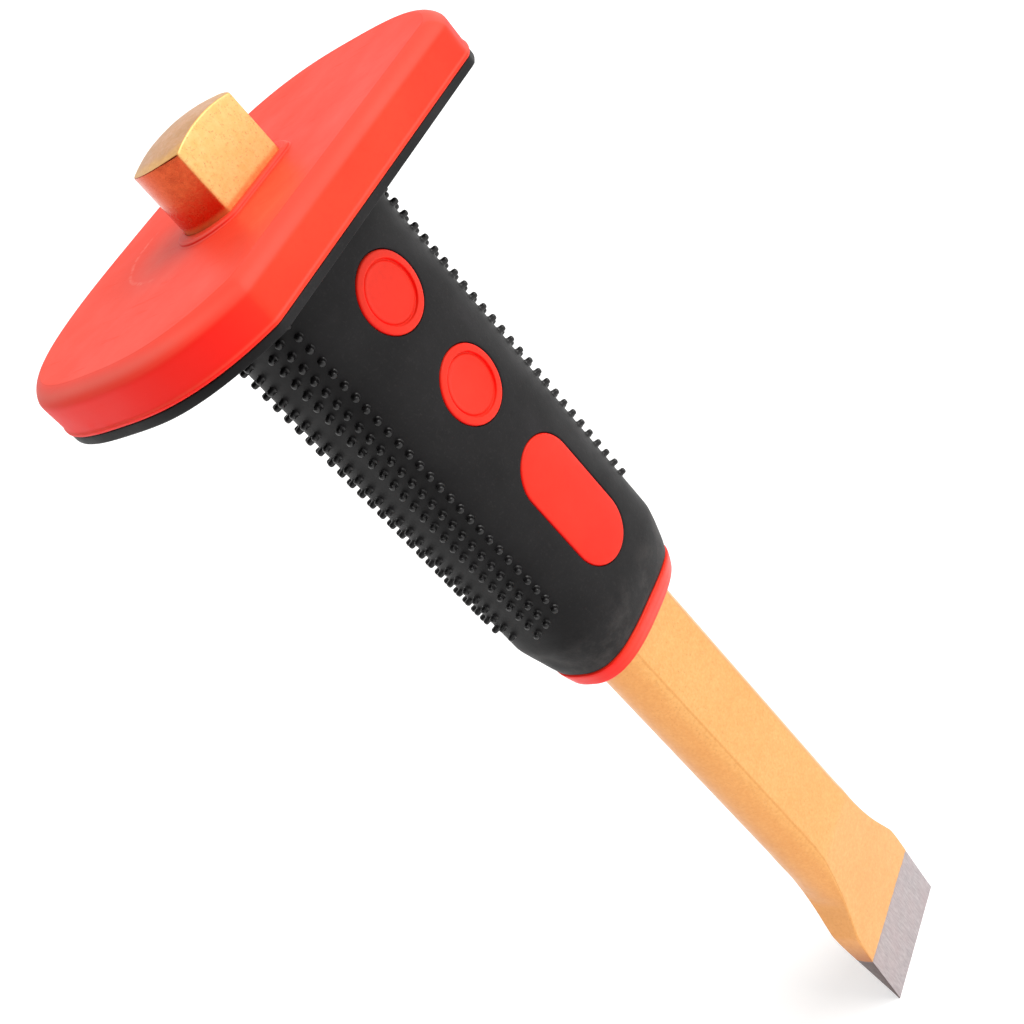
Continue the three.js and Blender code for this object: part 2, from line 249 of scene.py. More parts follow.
class N:
    """Short hand for building node graphs."""
    def __init__(self, nt):
        self.nt = nt
        self.co = nt.nodes.new("ShaderNodeTexCoord").outputs["Object"]

    def noise(self, scale, detail=3.0, rough=0.5, vec=None, dist=0.0):
        n = self.nt.nodes.new("ShaderNodeTexNoise")
        n.inputs["Scale"].default_value = scale
        n.inputs["Detail"].default_value = detail
        n.inputs["Roughness"].default_value = rough
        n.inputs["Distortion"].default_value = dist
        self.nt.links.new(vec or self.co, n.inputs["Vector"])
        return n.outputs["Fac"]

    def voronoi(self, scale, feature="F1", vec=None, out="Distance"):
        n = self.nt.nodes.new("ShaderNodeTexVoronoi")
        n.feature = feature
        n.inputs["Scale"].default_value = scale
        self.nt.links.new(vec or self.co, n.inputs["Vector"])
        return n.outputs[out]

    def mapping(self, scale=(1, 1, 1), rot=(0, 0, 0), loc=(0, 0, 0)):
        n = self.nt.nodes.new("ShaderNodeMapping")
        n.inputs["Scale"].default_value = scale
        n.inputs["Rotation"].default_value = rot
        n.inputs["Location"].default_value = loc
        self.nt.links.new(self.co, n.inputs["Vector"])
        return n.outputs[0]

    def sep(self, vec=None):
        n = self.nt.nodes.new("ShaderNodeSeparateXYZ")
        self.nt.links.new(vec or self.co, n.inputs[0])
        return n.outputs

    def math(self, op, a, b=0.0, c=0.0, clamp=False):
        n = self.nt.nodes.new("ShaderNodeMath")
        n.operation = op
        n.use_clamp = clamp
        for i, v in enumerate((a, b, c)):
            if isinstance(v, (int, float)):
                n.inputs[i].default_value = v
            else:
                self.nt.links.new(v, n.inputs[i])
        return n.outputs[0]

    def ramp(self, fac, stops):
        n = self.nt.nodes.new("ShaderNodeValToRGB")
        cr = n.color_ramp
        while len(cr.elements) > 1:
            cr.elements.remove(cr.elements[-1])
        first = True
        for pos, col in stops:
            e = cr.elements[0] if first else cr.elements.new(pos)
            e.position = pos
            e.color = (*col, 1) if len(col) == 3 else col
            first = False
        self.nt.links.new(fac, n.inputs[0])
        return n.outputs[0]

    def step(self, v, lo, hi):
        """0 below lo, 1 above hi, smooth between."""
        n = self.nt.nodes.new("ShaderNodeMapRange")
        n.interpolation_type = "SMOOTHSTEP"
        n.clamp = True
        n.inputs["From Min"].default_value = lo
        n.inputs["From Max"].default_value = hi
        n.inputs["To Min"].default_value = 0
        n.inputs["To Max"].default_value = 1
        self.nt.links.new(v, n.inputs["Value"])
        return n.outputs[0]

    def lin(self, v, a, b, c, d):
        n = self.nt.nodes.new("ShaderNodeMapRange")
        n.clamp = True
        for k, val in zip(("From Min", "From Max", "To Min", "To Max"), (a, b, c, d)):
            n.inputs[k].default_value = val
        self.nt.links.new(v, n.inputs["Value"])
        return n.outputs[0]

    def mix(self, fac, a, b, mode="MIX"):
        n = self.nt.nodes.new("ShaderNodeMix")
        n.data_type = "RGBA"
        n.blend_type = mode
        n.clamp_factor = True
        ins = [s for s in n.inputs if s.enabled]
        f, x, y = n.inputs[0], n.inputs[6], n.inputs[7]
        for sock, v in ((f, fac), (x, a), (y, b)):
            if isinstance(v, (int, float)):
                sock.default_value = v
            elif isinstance(v, tuple):
                sock.default_value = (*v, 1)
            else:
                self.nt.links.new(v, sock)
        return n.outputs[2]

    def bump(self, height, strength, distance, normal=None):
        n = self.nt.nodes.new("ShaderNodeBump")
        n.inputs["Strength"].default_value = strength
        n.inputs["Distance"].default_value = distance
        self.nt.links.new(height, n.inputs["Height"])
        if normal is not None:
            self.nt.links.new(normal, n.inputs["Normal"])
        return n.outputs[0]

    def normal_dir(self):
        return self.sep(self.nt.nodes.new("ShaderNodeNewGeometry").outputs["Normal"])


def srgb(r, g, b):
    f = lambda c: c / 12.92 if c <= 0.04045 else ((c + 0.055) / 1.055) ** 2.4
    return tuple(f(v / 255) for v in (r, g, b))


# ------------------------------------------------------------------ materials
def gold_material():
    """Gold lacquer over forged steel, worn on the struck head, ground off the bevels."""
    m, nt, b = new_mat("gold_lacquer_bar")
    g = N(nt)
    x, y, z = g.sep()
    # paint colour: soft clouds and fine flake
    cloud = g.noise(38, 3, 0.55)
    fleck = g.noise(2600, 2, 0.6)
    mott = g.noise(420, 4, 0.6)
    paint = g.ramp(cloud, [(0.30, srgb(240, 184, 106)), (0.55, srgb(246, 192, 114)), (0.78, srgb(250, 200, 124))])
    paint = g.mix(g.lin(mott, 0.35, 0.75, 0.0, 0.4), paint, srgb(228, 164, 86))
    paint = g.mix(g.lin(fleck, 0.52, 0.72, 0.0, 0.6), paint, srgb(255, 220, 150))
    paint = g.mix(g.lin(g.noise(1900, 2, 0.6), 0.58, 0.76, 0.0, 0.45), paint, srgb(182, 122, 62))
    # worn crown: thin greyish tan where the hammer lands
    crown = g.step(g.math("ADD", z, g.math("MULTIPLY", g.math("SUBTRACT", g.noise(260, 4, 0.6), 0.5), 0.0012)), 0.2972, 0.2979)
    nx, ny, nz = g.normal_dir()
    up = g.step(nz, 0.80, 0.93)
    worn = g.math("MULTIPLY", crown, up)
    wear_col = g.ramp(g.noise(150, 5, 0.65), [(0.3, srgb(210, 164, 122)), (0.55, srgb(232, 184, 148)), (0.8, srgb(240, 202, 176))])
    col = g.mix(worn, paint, wear_col)
    # the exposed blade is a shade deeper than the head
    grain = g.lin(g.noise(1300, 4, 0.8), 0.35, 0.62, 0.0, 0.5)
    col = g.mix(grain, col, srgb(214, 150, 76))
    col = g.mix(g.math("SUBTRACT", 1.0, g.step(z, 0.15, 0.20)), col, (0.93, 0.86, 0.90), mode="MULTIPLY")
    # painted shade: a darker line painted along the long edges of the blade
    anx = g.math("ABSOLUTE", nx)
    painted_edge_shade = g.math("MULTIPLY", g.step(anx, 0.10, 0.26), g.math("SUBTRACT", 1.0, g.step(anx, 0.40, 0.56)))
    painted_edge_shade = g.math("MULTIPLY", painted_edge_shade, g.math("SUBTRACT", 1.0, g.step(z, 0.15, 0.20)))
    col = g.mix(g.math("MULTIPLY", painted_edge_shade, 0.36), col, srgb(200, 128, 62))
    # painted shade: the narrow sides are painted darker orange all along; just above the bevels they are browner still
    side_n = g.step(g.math("ABSOLUTE", nx), 0.55, 0.85)
    low = g.math("SUBTRACT", 1.0, g.step(g.math("ADD", z, g.math("MULTIPLY", g.noise(300, 3, 0.6), 0.004)), 0.0215, 0.0330))
    col = g.mix(g.math("MULTIPLY", side_n, 0.40), col, srgb(220, 142, 76))
    col = g.mix(g.math("MULTIPLY", g.math("MULTIPLY", side_n, low), 0.7), col, srgb(160, 84, 36))
    # struck end: the broad faces are made matt and painted paler, with dark pits; the narrow sides stay glossy and are
    # painted red-orange, a painted reflection of the red guard
    head = g.step(z, 0.2835, 0.2845)
    broad = g.math("MULTIPLY", head, g.step(g.math("ABSOLUTE", ny), 0.7, 0.9))
    narrow = g.math("MULTIPLY", head, side_n)
    pit = g.lin(g.noise(2100, 4, 0.75), 0.56, 0.66, 0, 0.6)
    pale = g.mix(pit, g.ramp(g.noise(600, 4, 0.7), [(0.3, srgb(246, 198, 112)), (0.7, srgb(255, 218, 142))]), srgb(150, 104, 52))
    col = g.mix(g.math("MULTIPLY", broad, 0.85), col, pale)
    # painted reflection: the red guard painted onto the narrow sides of the head
    col = g.mix(g.math("MULTIPLY", narrow, 0.90), col, srgb(200, 68, 36))
    # bare ground steel below an uneven paint edge
    wob = g.math("MULTIPLY", g.math("SUBTRACT", g.noise(900, 3, 0.7, vec=g.mapping((1, 1, 0.15))), 0.5), 0.0011)
    edge = g.math("ADD", z, wob)
    bare = g.math("SUBTRACT", 1.0, g.step(edge, BEVEL_Z * MM - 0.00012, BEVEL_Z * MM + 0.00012))
    scr1 = g.noise(1, 4, 0.65, vec=g.mapping((2600, 2600, 60), rot=(0, 0.12, 0)))
    scr2 = g.noise(1, 3, 0.6, vec=g.mapping((900, 900, 35), rot=(0, -0.3, 0)))
    patch = g.noise(130, 4, 0.6)
    steel = g.ramp(scr1, [(0.25, srgb(146, 138, 140)), (0.5, srgb(170, 162, 164)), (0.78, srgb(194, 188, 188))])
    steel = g.mix(g.lin(patch, 0.4, 0.7, 0, 0.45), steel, srgb(176, 158, 160))
    # painted shade: the narrow sides of the bare bevel are painted dark brown
    side = g.step(g.math("ABSOLUTE", nx), 0.55, 0.8)
    steel = g.mix(g.math("MULTIPLY", side, 0.92), steel, srgb(78, 58, 54))
    # a little oxide right where the lacquer was ground through
    rim = g.math("MULTIPLY", g.step(edge, BEVEL_Z * MM - 0.0011, BEVEL_Z * MM - 0.0001), 0.35)
    steel = g.mix(rim, steel, srgb(150, 128, 124))
    col = g.mix(bare, col, steel)
    nt.links.new(col, b.inputs["Base Color"])
    metal = g.math("SUBTRACT", g.math("ADD", g.math("MULTIPLY", narrow, 0.26), 0.72), g.math("MULTIPLY", broad, 0.42))
    nt.links.new(metal, b.inputs["Metallic"])
    rough = g.lin(g.noise(700, 3, 0.6), 0.3, 0.7, 0.30, 0.44)
    rough = g.math("ADD", rough, g.math("MULTIPLY", worn, 0.08))
    rough = g.math("SUBTRACT", g.math("ADD", rough, g.math("MULTIPLY", broad, 0.12)), g.math("MULTIPLY", narrow, 0.13))
    nt.links.new(rough, b.inputs["Roughness"])
    b.inputs["Coat Weight"].default_value = 0.12
    b.inputs["Coat Roughness"].default_value = 0.3
    h = g.math("ADD", g.math("MULTIPLY", g.noise(1100, 3, 0.6), 0.6), g.math("MULTIPLY", g.noise(240, 3, 0.5), 1.0))
    h = g.math("ADD", h, g.math("MULTIPLY", g.math("MULTIPLY", bare, g.math("ADD", scr1, scr2)), 0.9))
    nt.links.new(g.bump(h, 0.35, 0.00012), b.inputs["Normal"])
    return m


def red_material(name, base=(234, 44, 18), lit=(246, 62, 34), rough=(0.42, 0.54), scale=1.0, scuffs_and_painted_light=False):
    m, nt, b = new_mat(name)
    g = N(nt)
    cloud = g.noise(24 * scale, 3, 0.5)
    fine = g.noise(900, 3, 0.6)
    col = g.ramp(cloud, [(0.3, srgb(*base)), (0.72, srgb(*lit))])
    col = g.mix(g.lin(fine, 0.5, 0.8, 0, 0.18), col, srgb(200, 22, 12))
    nd = g.normal_dir()
    # painted shade: faces turned towards the ends (along x) are painted a deeper, more saturated red
    ends = g.step(g.math("ABSOLUTE", nd[0]), 0.25, 0.8)
    col = g.mix(g.math("MULTIPLY", ends, 0.85), col, srgb(255, 14, 4))
    if scuffs_and_painted_light:
        # a faint ring and a rubbed patch beside the head, on the top face only
        x, y, z = g.sep()
        up = g.step(g.normal_dir()[2], 0.97, 0.995)
        dx, dy = g.math("ADD", x, 0.004), g.math("SUBTRACT", y, 0.0095)
        rr = g.math("SQRT", g.math("ADD", g.math("MULTIPLY", dx, dx), g.math("MULTIPLY", dy, dy)))
        rr = g.math("ADD", rr, g.math("MULTIPLY", g.math("SUBTRACT", g.noise(180, 3, 0.6), 0.5), 0.0012))
        left = g.math("MULTIPLY", g.math("SUBTRACT", 1.0, g.step(x, -0.005, 0.001)), g.step(y, 0.006, 0.012))
        line = g.math("SUBTRACT", 1.0, g.step(g.math("ABSOLUTE", g.math("SUBTRACT", rr, 0.0175)), 0.0001, 0.0007))
        patchy = g.lin(g.noise(700, 3, 0.7), 0.40, 0.62, 0, 1)
        mark = g.math("MULTIPLY", g.math("MULTIPLY", line, left), g.math("MULTIPLY", patchy, up))
        col = g.mix(g.math("MULTIPLY", mark, 0.45), col, srgb(250, 190, 178))
        rub = g.math("MULTIPLY", g.math("SUBTRACT", 1.0, g.step(rr, 0.010, 0.0172)), g.math("MULTIPLY", left, up))
        rub = g.math("MULTIPLY", rub, g.lin(g.noise(420, 4, 0.7), 0.35, 0.7, 0.1, 0.5))
        col = g.mix(rub, col, srgb(232, 120, 104))
    if scuffs_and_painted_light:
        # painted highlight: the soft upper edge and the rim of the top face are painted paler red, paler still at the
        # ends; the top face itself is painted a lighter orange-red as painted light
        painted_rim_highlight = g.math("MULTIPLY", g.step(nd[2], 0.04, 0.55), g.math("SUBTRACT", 1.0, g.step(nd[2], 0.94, 0.985)))
        col = g.mix(g.math("MULTIPLY", painted_rim_highlight, 0.8), col, srgb(255, 76, 58))
        painted_end_highlight = g.math("MULTIPLY", ends, g.math("MULTIPLY", painted_rim_highlight, g.step(nd[2], 0.45, 0.80)))
        col = g.mix(g.math("MULTIPLY", painted_end_highlight, 0.7), col, srgb(255, 118, 102))
        # painted light: the top face painted a lighter orange-red
        col = g.mix(g.math("MULTIPLY", g.step(nd[2], 0.97, 0.995), 0.55), col, srgb(255, 78, 54))
    nt.links.new(col, b.inputs["Base Color"])
    r = g.lin(g.noise(55, 4, 0.6), 0.3, 0.7, rough[0], rough[1])
    # light handling scuffs
    sc = g.noise(1, 3, 0.7, vec=g.mapping((900, 90, 300), rot=(0.3, 0.2, 0.7)))
    r = g.math("ADD", r, g.lin(sc, 0.6, 0.8, 0, 0.12))
    nt.links.new(r, b.inputs["Roughness"])
    b.inputs["Specular IOR Level"].default_value = 0.2
    b.inputs["Subsurface Weight"].default_value = 0.04
    b.inputs["Subsurface Radius"].default_value = (0.004, 0.0008, 0.0005)
    b.inputs["Subsurface Scale"].default_value = 0.5
    h = g.math("ADD", g.math("MULTIPLY", g.noise(1700, 2, 0.5), 0.5), g.noise(160, 2, 0.5))
    nt.links.new(g.bump(h, 0.22, 0.00010), b.inputs["Normal"])
    return m


def rubber_material(name, base=(25, 24, 25), rough=(0.46, 0.62), spec=0.18, painted_side_shade=0.7):
    m, nt, b = new_mat(name)
    g = N(nt)
    cloud = g.noise(60, 4, 0.6)
    fine = g.noise(1500, 3, 0.6)
    lo = tuple(int(v * 0.72) for v in base)
    hi = tuple(int(v * 1.36) for v in base)
    col = g.ramp(cloud, [(0.3, srgb(*lo)), (0.55, srgb(*base)), (0.75, srgb(*hi))])
    col = g.mix(g.lin(fine, 0.55, 0.85, 0, 0.35), col, srgb(56, 52, 52))
    # painted shade: the narrow sides are painted blacker; the tapered end is rubbed and dusty
    col = g.mix(g.math("MULTIPLY", g.step(g.math("ABSOLUTE", g.normal_dir()[0]), 0.35, 0.85), painted_side_shade), col, srgb(9, 7, 8))
    zz = g.sep()[2]
    dust = g.math("MULTIPLY", g.math("SUBTRACT", 1.0, g.step(zz, 0.158, 0.172)), g.lin(g.noise(150, 5, 0.7), 0.45, 0.75, 0, 0.45))
    col = g.mix(dust, col, srgb(84, 78, 76))
    nt.links.new(col, b.inputs["Base Color"])
    nt.links.new(g.lin(g.noise(90, 4, 0.6), 0.3, 0.7, rough[0], rough[1]), b.inputs["Roughness"])
    b.inputs["Specular IOR Level"].default_value = spec
    h = g.math("ADD", g.math("MULTIPLY", g.noise(2400, 3, 0.6), 0.7), g.math("MULTIPLY", g.noise(320, 3, 0.5), 0.8))
    nt.links.new(g.bump(h, 0.35, 0.00010), b.inputs["Normal"])
    return m


gold = gold_material()
red_guard = red_material("red_moulded_guard", scuffs_and_painted_light=True)
red_pad = red_material("red_moulded_pad", base=(228, 38, 18), lit=(240, 50, 30), rough=(0.42, 0.54), scale=2.0)
red_nose = red_material("red_moulded_nose", base=(226, 38, 14), lit=(242, 54, 28), rough=(0.32, 0.44), scale=2.0)
black = rubber_material("black_rubber_grip")
black_nub = rubber_material("black_rubber_nub", base=(20, 19, 20), rough=(0.26, 0.38), spec=0.42, painted_side_shade=0.5)
black_back = rubber_material("black_rubber_backing", base=(28, 27, 28), rough=(0.46, 0.60))


# ------------------------------------------------------------------ chisel bar
def build_bar():
    def half_t(z):
        if z < BEVEL_Z:
            return LAND_T + (BEVEL_T - LAND_T) * z / BEVEL_Z
        if z < TAPER_TOP:
            return BEVEL_T + (BAR_T - BEVEL_T) * (z - BEVEL_Z) / (TAPER_TOP - BEVEL_Z)
        return BAR_T

    def soft(f, z, w):
        """f averaged over a short stretch, so that changes of slope are small radii."""
        return sum(f(z + w * k) for k in (-1, -0.5, 0, 0.5, 1)) / 5

    def half_flat(z):
        return float(np.interp(z, [q[0] for q in FLARE], [q[1] for q in FLARE]))

    def half_w(z):
        if z > HEAD_TAPER_Z:
            return float(np.interp(z, [HEAD_TAPER_Z, TOP_Z, LENGTH], [BAR_W, HEAD_W, CROWN_W]))
        return max(half_flat(z) + 0.15, BAR_W - 0.3 * max(0, (60 - z) / 29) if z > 31 else 0)

    rings = []
    zs = [0.0, 0.05, 0.15, 0.3]
    zs += list(np.linspace(0.6, 19.2, 42))
    zs += list(np.linspace(19.4, 21.4, 26))
    zs += list(np.linspace(21.8, 70, 106))
    zs += list(np.linspace(72, 282, 50))
    for z in zs:
        w = 0 if z < 1 else 0.9
        hf = soft(half_flat, z, w)
        hw = soft(half_w, z, w)
        ht = soft(half_t, z, w if z > 22 else 0.05 if z > 0.5 else 0)
        d = 0.55 if z > 30 else 0.22 + 0.33 * z / 30
        if z < 0.3:                       # rounded land along the cutting edge
            ht = LAND_T * (0.45 + 0.55 * math.sqrt(max(0, 1 - (1 - z / 0.3) ** 2)))
        rings.append([(p[0], p[1], z) for p in flat_oval(hf, max(hw, hf + 0.15), ht, d)])
    # the crown: each point of the section runs up to the sphere, over a worn edge, then in to the centre
    sec = flat_oval(BAR_F, CROWN_W, BAR_T, 0.55)
    zc = LENGTH - CROWN_R
    cap = lambda x, y: zc + math.sqrt(CROWN_R ** 2 - x * x - y * y)
    nrm = sec / np.hypot(sec[:, 0], sec[:, 1])[:, None]
    ers = 0.22 + 0.33 * np.clip((np.abs(nrm[:, 1]) - 0.3) / 0.4, 0, 1)
    low = cap(sec[0][0], sec[0][1])
    for z in (284, 287, 290, 292):
        rings.append([(p[0], p[1], z) for p in flat_oval(BAR_F, half_w(z), BAR_T, 0.55)])
    rings.append([(p[0], p[1], cap(*p) - 1.2) for p in sec])
    for k in range(0, 7):
        t = (k / 6) * pi / 2
        rings.append([(p[0] - q[0] * er * (1 - math.cos(t)), p[1] - q[1] * er * (1 - math.cos(t)),
                       cap(p[0] - q[0] * er, p[1] - q[1] * er) - er * (1 - math.sin(t))) for p, q, er in zip(sec, nrm, ers)])
    inner = np.array([(p[0] - q[0] * er, p[1] - q[1] * er) for p, q, er in zip(sec, nrm, ers)])
    for s in (0.96, 0.9, 0.82, 0.72, 0.6, 0.47, 0.34, 0.2, 0.08):
        rings.append([(p[0] * s, p[1] * s, cap(p[0] * s, p[1] * s)) for p in inner])
    v, f = tube(rings, cap0=(0, 0, 0), cap1=(0, 0, LENGTH))
    v = np.array(v, float)
    # the lacquer stands a little proud of the ground bevels; its edge wanders
    for i in range(len(v)):
        x, y, z = v[i]
        if z < 21.4:
            wob = 0.22 * math.sin(x * 3.1 + y) + 0.14 * math.sin(x * 7.7 + 1.3) + 0.1 * math.sin(x * 15.1 + 0.4)
            k = min(max((BEVEL_Z + wob - z) / 0.25, 0), 1)
            v[i, 1] = y - math.copysign(min(0.07, abs(y) * 0.1) * k, y)
    ob = make("chisel_bar_forged", v, f, [gold], 50)
    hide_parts("chisel_bar")
    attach(ob, "chisel")


# ------------------------------------------------------------------ guard
THETA = np.linspace(-pi, pi, 480, endpoint=False)


def gl(off, z):
    return level(polar(guard_outline(off), THETA), z)


def bar_ring(off, z, d=0.6):
    return level(polar(flat_oval(BAR_F + off * 0.6, BAR_W + off, BAR_T + off, d, 60, 80, 12), THETA), z)


def build_shield():
    z0 = WALL_Z0
    rings = [gl(-2.6, z0), gl(-1.2, z0), gl(-0.5, z0)]
    for k in range(1, 6):                                      # small bead along the lower lip
        t = k / 5 * pi / 2
        rings.append(gl(-0.38 + 0.38 * math.sin(t), z0 + 0.38 * (1 - math.cos(t))))
    for off, dz in ((0.0, 0.62), (-0.05, 0.78), (-0.16, 0.98), (-0.22, 1.2), (-0.24, 1.6), (-0.26, 3.4)):
        rings.append(gl(off, z0 + dz))
    R = 3.3
    for k in range(0, 15):                                     # soft edge, a little flatter than a true round
        u = k / 14
        t = u * pi / 2
        off = -0.26 - 0.62 * R * (1 - math.cos(t)) - 0.38 * R * u
        dz = -0.62 * R * (1 - math.sin(t)) - 0.38 * R * (1 - u)
        if k == 0:
            rings.append(gl(off, RIM_Z + dz - 0.7))
            off, dz = off - 0.03, dz - 0.12
        if k == 14:
            off, dz = off + 0.10, dz - 0.03
        rings.append(gl(off, RIM_Z + dz))
    edge = polar(guard_outline(-3.85), THETA)
    lipo = polar(flat_oval(BAR_F + 1.0, HEAD_W + 2.6, BAR_T + 1.9, 1.6, 60, 80, 12), THETA)
    nrm = lipo / np.hypot(lipo[:, 0], lipo[:, 1])[:, None]
    foot = lipo + nrm * 0.9
    for s in (0.0, 0.03, 0.08, 0.16, 0.26, 0.38, 0.50, 0.62, 0.74, 0.85, 0.94):
        p = edge * (1 - s) + foot * s
        u = min(1, s / 0.75)
        drop = (RIM_Z - 0.05 - TOP_Z) * u * u * (3 - 2 * u)
        rings.append([(q[0], q[1], RIM_Z - 0.05 - drop) for q in p])
    for k in range(0, 6):                                      # concave foot of the lip
        t = k / 5 * pi / 2
        p = lipo + nrm * 0.9 * (1 - math.sin(t))
        rings.append([(q[0], q[1], TOP_Z + 0.35 * (1 - math.cos(t))) for q in p])
    for k in range(1, 9):                                      # one wide soft bead that leans on the bar
        t = k / 8 * pi / 2
        p = lipo - nrm * 1.15 * (1 - math.cos(t))
        rings.append([(q[0], q[1], TOP_Z + 0.35 + (LIP_TOP - TOP_Z - 0.35) * math.sin(t)) for q in p])
    inner = polar(flat_oval(BAR_F + 0.04, HEAD_W + 0.06, BAR_T + 0.06, 0.5, 60, 80, 12), THETA)
    inr = inner / np.hypot(inner[:, 0], inner[:, 1])[:, None]
    for k in range(0, 4):
        t = k / 3 * pi / 2
        p = inner + inr * 0.22 * (1 - math.sin(t))
        rings.append([(q[0], q[1], LIP_TOP - 0.05 - 0.22 * (1 - math.cos(t))) for q in p])
    rings.append([(q[0], q[1], TOP_Z - 1.2) for q in inner])
    rings.append([(q[0], q[1], RIM_Z - 3.0) for q in inner])
    rings.append(gl(-2.6, RIM_Z - 3.0))
    v, f = tube(rings, wrap=True)
    ob = make("guard_shield_moulded", v, f, [red_guard], 42)
    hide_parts("guard_shield")
    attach(ob, "hand_guard")


def core_ring(off, z):
    return level(polar(flat_oval(CORE_F + off * 0.6, CORE_W + off, CORE_T + off, 0.6, 60, 80, 12), THETA), z)


def build_backing():
    z1 = WALL_Z0 - 0.06
    rings = [core_ring(0.15, RIM_Z - 3.1), core_ring(0.15, BACK_Z0)]
    rings += [gl(-30, BACK_Z0) if False else core_ring(1.0, BACK_Z0)]
    rings += [gl(-12, BACK_Z0), gl(-5, BACK_Z0), gl(-3, BACK_Z0 - 0.55), gl(-1.2, BACK_Z0 - 0.7)]
    for k in range(1, 6):
        t = k / 5 * pi / 2
        rings.append(gl(-0.8 + 0.55 * math.sin(t), BACK_Z0 - 0.7 + 0.55 * (1 - math.cos(t))))
    rings.append(gl(-0.25, BACK_Z0 + 0.3))
    for k in range(0, 5):
        t = k / 4 * pi / 2
        rings.append(gl(-0.27 - 0.3 * (1 - math.cos(t)), z1 - 0.3 + 0.3 * math.sin(t)))
    rings += [gl(-2.75, z1), gl(-2.75, RIM_Z - 3.1)]
    v, f = tube(rings, wrap=True)
    v = np.array(v, float)
    # slightly uneven moulded edge where the rubber meets the red wall
    for i in range(len(v)):
        x, y, z = v[i]
        if z < BACK_Z0 - 0.001:
            k = min(max((y + 33) / 22, 0), 1)
            v[i, 2] = BACK_Z0 - (BACK_Z0 - z) * (0.25 + 0.75 * k * k * (3 - 2 * k))
        if z > BACK_Z0 + 1.2 and z < WALL_Z0 and abs(x) > 20:
            a = math.atan2(y, x)
            v[i, 2] = z - 0.14 * max(0, math.sin(a * 37) + math.sin(a * 61 + 1) * 0.7 - 0.5) * (z - BACK_Z0 - 1.2)
    ob = make("guard_backing_rubber", v, f, [black_back], 42)
    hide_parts("guard_backing")
    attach(ob, "hand_guard")


# ------------------------------------------------------------------ pads and the cover with its windows
def pad_spec(node):
    lo, hi = box(node)
    r = (hi[0] - lo[0]) / 2
    h = (hi[2] - lo[2]) / 2 - r
    return {"z": (lo[2] + hi[2]) / 2, "r": r, "h": h if h > 0.1 else 0.0}


PADS = {k: pad_spec(k + "_front") for k in ("upper_round_pad", "middle_round_pad", "long_pad")}


def pad_ring(spec, rho, n=96, ns=16):
    """Closed outline at distance rho from the pad's centre line, in x and z."""
    h, zc = spec["h"], spec["z"]
    pts = []
    if h <= 1e-6:
        n = n + 2 * ns
        return [(rho * math.cos(t), zc + rho * math.sin(t)) for t in np.linspace(0, 2 * pi, n, endpoint=False)]
    m = n // 2
    pts += [(rho * math.cos(t), zc + h + rho * math.sin(t)) for t in np.linspace(0, pi, m, endpoint=False)]
    pts += [(-rho, z) for z in np.linspace(zc + h, zc - h, ns, endpoint=False)]
    pts += [(rho * math.cos(t), zc - h + rho * math.sin(t)) for t in np.linspace(pi, 2 * pi, m, endpoint=False)]
    pts += [(rho, z) for z in np.linspace(zc - h, zc + h, ns, endpoint=False)]
    return pts


def build_pad(name, side):
    spec = PADS[name]
    round_pad = spec["h"] < 1e-6
    R = spec["r"] - 0.02
    proud = 0.12
    rings = []
    def ring(rho, depth):
        rings.append([(side * -x, side * (surf_y(x) + proud - depth), z) for x, z in pad_ring(spec, rho)])
    def ring_at(rho, y):
        rings.append([(side * -x, side * y, z) for x, z in pad_ring(spec, rho)])
    ring_at(R, CORE_T + 0.1)
    ring_at(R, CORE_T + 1.5)
    er = 0.5
    for k in range(0, 7):
        t = k / 6 * pi / 2
        ring(R - er * (1 - math.cos(t)), er * (1 - math.sin(t)))
    if round_pad:
        s = 6.6
        for rho in (R - 0.8, R - 1.2, s + 0.45):
            ring(rho, 0.0)
        for k in range(1, 5):                                   # rim, then a narrow moat round the inner disc
            t = k / 4 * pi / 2
            ring(s + 0.45 - 0.25 * math.sin(t), 0.25 * (1 - math.cos(t)))
        for rho, dep in ((s + 0.18, 0.6), (s + 0.12, 0.72), (s, 0.78), (s - 0.12, 0.78), (s - 0.24, 0.70), (s - 0.32, 0.58), (s - 0.42, 0.50), (s - 0.6, 0.46)):
            ring(rho, dep)
        for q in (0.86, 0.76, 0.64, 0.52, 0.4, 0.28, 0.14):
            ring(s * q, 0.46 + 0.40 * (1 - q * q))
        cap = (0, side * (surf_y(0) + proud - 0.9), spec["z"])
        v, f = tube(rings, cap0=(0, side * (CORE_T + 0.1), spec["z"]), cap1=cap)
    else:
        for q in (0.88, 0.76, 0.6, 0.42, 0.24, 0.1):
            ring(R * q, -0.10 * (1 - q * q))
        ring(0.0, -0.10)
        v, f = tube(rings)
        n = len(rings[0])
        # back face as one polygon
        f.append(tuple(range(n - 1, -1, -1)))
    ob = make(name + ("_front" if side < 0 else "_back") + "_inlay", v, f, [red_pad], 45)
    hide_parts(name + ("_front" if side < 0 else "_back"))
    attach(ob, "hand_guard")


X_SEAM = 13.5                 # the front and back patches are cut from the sides here


